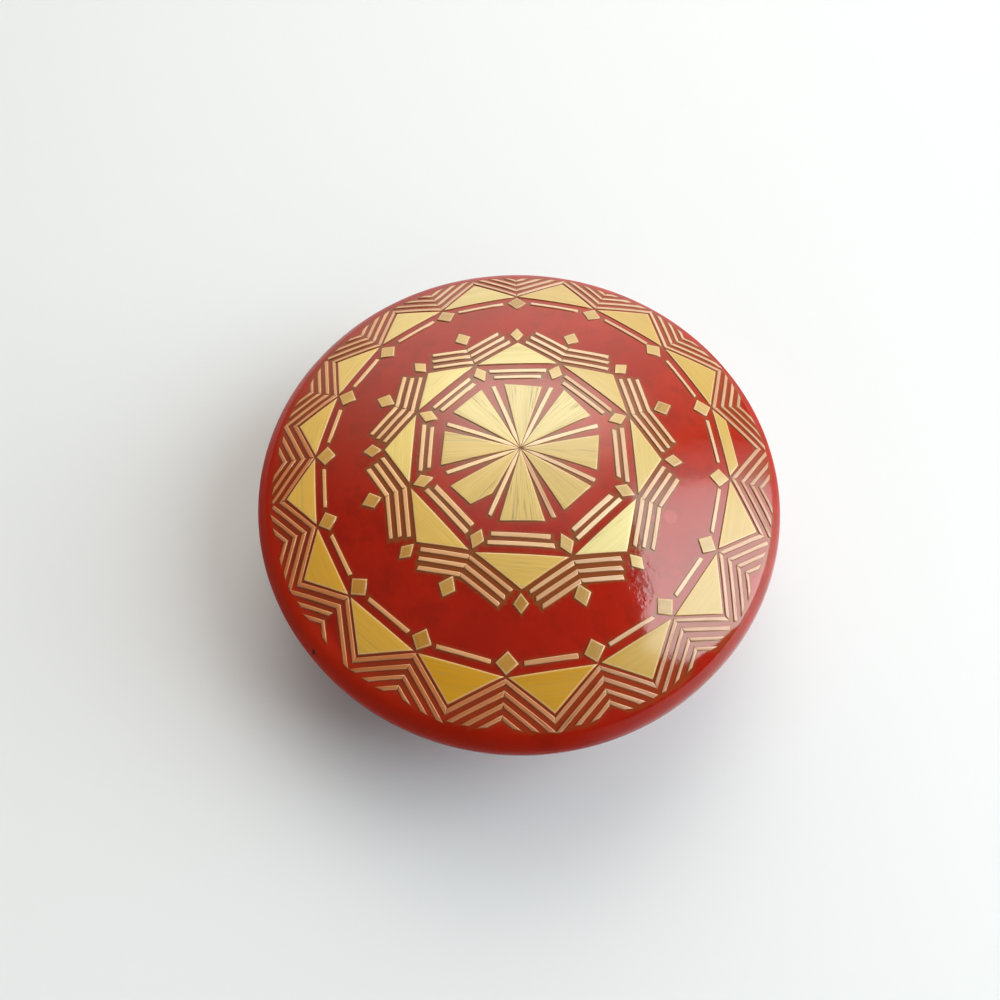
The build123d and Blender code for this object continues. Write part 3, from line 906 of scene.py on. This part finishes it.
studio = {
    "floorColour": (0.745, 0.725, 0.775),
    "floorHalf": 3.0,  # metres
    "floorDrop": 0.05,  # mm under the foot
    "floorRoughness": 0.6,
    "ambient": 0.07,
    "ambientColour": (0.84, 0.97, 1.0),
    "farGlow": 1.55,  # bright side behind the box, which hazes the lid's top
    "farFade": 1.6,
    "farHeading": -1.0,  # degrees from +Y towards +X
    "farRise": 24.0,
    "farColours": [(0.0, (1.0, 0.8, 0.45)), (0.4, (1.0, 0.85, 0.52)), (0.85, (1.0, 0.95, 0.82))],
    "lampTarget": (0, 0, 0.03),  # metres
    "lampDistance": 1.6,  # of the window and the ceiling
    "windowLevel": 5.7,
    "windowShares": (  # brightness from its near end to its far end
        (0.0, 1.0), (0.34, 0.98), (0.47, 0.9), (0.62, 0.83), (0.74, 0.72), (0.79, 0.55), (0.84, 0.2),
        (0.93, 0.12), (1.0, 0.03),
    ),
    "windowColour": (0.88, 1.0, 0.98),
    "windowHeading": 82.5,
    "windowRise": 31.0,
    "windowSize": (1.53, 1.76),  # metres
    "ceilingLevel": 3.6,  # pale ceiling, whose soft reflection hazes the star
    "ceilingAcross": ((0.0, 0.0), (0.3, 1.0), (0.7, 1.0), (1.0, 0.0)),  # brightness from side to side
    "ceilingUp": (  # brightness from its low end to its high end
        (0.0, 0.0), (0.1, 0.42), (0.2, 0.95), (0.33, 1.0), (0.42, 0.85), (0.52, 0.52), (0.65, 0.3),
        (0.8, 0.18), (0.95, 0.08), (1.0, 0.0),
    ),
    "ceilingColour": (0.97, 1.0, 0.88),
    "ceilingHeading": 6.0,
    "ceilingRise": 61.0,
    "ceilingSize": (1.7, 1.75),
    "fills": {  # heading, rise, level at the box facing it, colour
        "far": (20.0, 20.0, 0.1, (1.0, 0.98, 0.95)),
        "front": (145.0, 30.0, 0.2, (1.0, 0.97, 0.94)),
    },
    "fillDistance": 1.5,
    "fillSize": (1.2, 0.8),
}


def heading(azimuth, rise):
    # direction towards a heading from +Y and a rise above the floor, in degrees
    a, e = np.radians(azimuth), np.radians(rise)
    return np.array([np.sin(a) * np.cos(e), np.cos(a) * np.cos(e), np.sin(e)])


def standing(side, up, back, place):
    # matrix that turns x, y and z to side, up and back, and moves the origin to place
    rows = np.stack([side, up, back, place], -1)
    return Matrix([*rows.tolist(), [0, 0, 0, 1]])


def areaLamp(name, direction, distance, size, power):
    # a lamp at target + distance * direction that faces the target
    lamp = bpy.data.lights.new(name, "AREA")
    lamp.shape = "RECTANGLE"
    lamp.size, lamp.size_y = size
    lamp.energy = power
    holder = bpy.data.objects.new(name, lamp)
    side = np.cross((0, 0, 1), direction)
    side = side / np.linalg.norm(side)
    place = np.array(studio["lampTarget"]) + direction * distance
    holder.matrix_world = standing(side, np.cross(direction, side), direction, place)
    bpy.context.scene.collection.objects.link(holder)
    return holder


def studioWorld():
    # level = ambient + glow * (2 d . far - 1)^fade where d . far is above 0.5
    world = bpy.data.worlds.new("studio")
    world.use_nodes = True
    tree = world.node_tree
    direction = add(tree, "TexCoord").outputs["Generated"]
    dot = add(tree, "VectorMath", operation="DOT_PRODUCT")
    link(tree, direction, dot.inputs[0])
    dot.inputs[1].default_value = heading(studio["farHeading"], studio["farRise"])
    near = maths(tree, "MAXIMUM", maths(tree, "MULTIPLY_ADD", dot.outputs["Value"], 2.0, -1.0), 0.0)
    glow = product(tree, maths(tree, "POWER", near, studio["farFade"]), studio["farGlow"])
    background = tree.nodes["Background"]
    background.inputs["Color"].default_value = (*studio["ambientColour"], 1)
    background.inputs["Strength"].default_value = studio["ambient"]
    bright = add(tree, "Background")
    link(tree, ramp(tree, near, studio["farColours"]), bright.inputs["Color"])
    link(tree, glow, bright.inputs["Strength"])
    both = add(tree, "AddShader")
    link(tree, background.outputs[0], both.inputs[0])
    link(tree, bright.outputs[0], both.inputs[1])
    link(tree, both.outputs[0], tree.nodes["World Output"].inputs["Surface"])
    bpy.context.scene.world = world


def shapedLamp(name, across, up=None):
    # a lamp seen in the lacquer: power = pi * level * width * height, times its shares across and up
    width, height = studio[name + "Size"]
    direction = heading(studio[name + "Heading"], studio[name + "Rise"])
    power = studio[name + "Level"] * np.pi * width * height
    lamp = areaLamp(name, direction, studio["lampDistance"], (width, height), power)
    lamp.data.color = studio[name + "Colour"]
    lamp.data.use_nodes = True
    tree = lamp.data.node_tree
    place = add(tree, "SeparateXYZ")
    link(tree, add(tree, "NewGeometry").outputs["Parametric"], place.inputs[0])
    share = ramp(tree, place.outputs["X"], across)
    if up is not None:
        share = product(tree, share, ramp(tree, place.outputs["Y"], up))
    link(tree, share, tree.nodes["Emission"].inputs["Strength"])


studioWorld()
shapedLamp("window", studio["windowShares"])
shapedLamp("ceiling", studio["ceilingAcross"], studio["ceilingUp"])
for name, (turn, rise, level, colour) in studio["fills"].items():
    # power = pi^2 distance^2 level
    distance = studio["fillDistance"]
    fill = areaLamp(name, heading(turn, rise), distance, studio["fillSize"], (np.pi * distance) ** 2 * level)
    fill.data.color = colour
    fill.visible_glossy = False

half = studio["floorHalf"] / mm
floorCorners = [(-half, -half), (half, -half), (half, half), (-half, half)]
floor = meshObject("floor", [(x, y, -studio["floorDrop"]) for x, y in floorCorners], [(0, 1, 2, 3)])
floorMaterial, _, floorShader = newMaterial("paleFloor")
floorShader.inputs["Base Color"].default_value = (*studio["floorColour"], 1)
floorShader.inputs["Roughness"].default_value = studio["floorRoughness"]
floor.data.materials.append(floorMaterial)
print("studio with", len(studio["fills"]) + 2, "lamps")

# Camera: where it stands was worked out from the ring corners and the outline in the photograph
photoCamera = {
    "lookDown": 64.83,
    "roll": 0.108,
    "distance": 164.975,  # mm, to the level of the widest circle
    "focal": 850.0,  # pixels
    "lidCentre": (518.66, 487.30),  # pixel of the middle of the widest circle
    "frame": 1000.0,
    "sensor": 36.0,  # mm
    "clipStart": 0.01,  # metres
}


def placeCamera():
    # position = -distance (forward + (tx - c) / f right + (c - ty) / f up), from the widest circle's middle
    e, roll = np.radians(photoCamera["lookDown"]), np.radians(photoCamera["roll"])
    forward = np.array([0, np.cos(e), -np.sin(e)])
    up = np.array([0, np.sin(e), np.cos(e)])
    across = np.array([1.0, 0, 0])
    right = np.cos(roll) * across + np.sin(roll) * up
    up = np.cos(roll) * up - np.sin(roll) * across
    tx, ty = photoCamera["lidCentre"]
    half = photoCamera["frame"] / 2
    f = photoCamera["focal"]
    place = -photoCamera["distance"] * (forward + (tx - half) / f * right + (half - ty) / f * up)
    place = (place + (0, 0, equator)) * mm
    lens = bpy.data.cameras.new("photoCamera")
    lens.sensor_width = photoCamera["sensor"]
    lens.lens = photoCamera["sensor"] * f / photoCamera["frame"]
    lens.clip_start = photoCamera["clipStart"]
    camera = bpy.data.objects.new("photoCamera", lens)
    camera.matrix_world = standing(right, up, -forward, place)
    bpy.context.scene.collection.objects.link(camera)
    bpy.context.scene.camera = camera
    print("camera at", np.round(place, 4).tolist())


placeCamera()
bpy.context.scene.view_settings.view_transform = "Standard"
